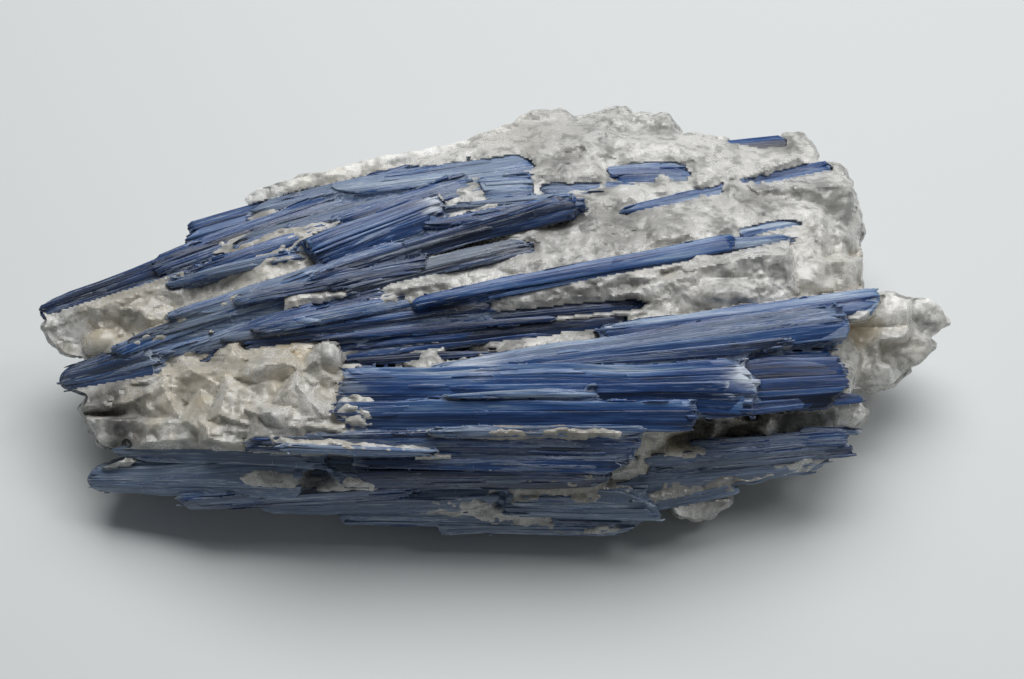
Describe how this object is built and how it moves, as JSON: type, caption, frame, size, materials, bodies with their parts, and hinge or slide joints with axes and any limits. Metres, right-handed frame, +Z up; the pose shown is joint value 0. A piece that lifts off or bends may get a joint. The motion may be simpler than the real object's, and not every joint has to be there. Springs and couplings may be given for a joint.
{
  "type": "kyanite blade cluster in quartz",
  "caption": "Natural mineral specimen: fans of long flat blue kyanite blades grown through a broken grey-white quartz mass, lying on a flat broken base.",
  "frame": {"origin": "on the flat broken face that the piece rests on, under the middle of the quartz mass", "axes": "+X along the blades towards the wide right end, +Y away from the display side, +Z up from the resting plane"},
  "size_m": [0.1509, 0.0809, 0.0333],
  "materials": {
    "kyanite": "vitreous to pearly, streaked along the blade, blue to near black with white frayed edges",
    "quartz": "milky to clear, broken faces, with cream and yellow-brown iron stains"
  },
  "bodies": {
    "root": {"kyanite_upper_spray": "kyanite", "kyanite_middle_spray": "kyanite", "kyanite_front_spray": "kyanite", "kyanite_top_blades": "kyanite", "kyanite_ridge_blade": "kyanite", "kyanite_slant_blade": "kyanite", "kyanite_small_blade": "kyanite", "kyanite_back_spray": "kyanite", "kyanite_back_left_blade": "kyanite", "kyanite_back_top_blade": "kyanite", "kyanite_back_low_blade": "kyanite", "quartz_matrix": "quartz"}
  },
  "joints": []
}
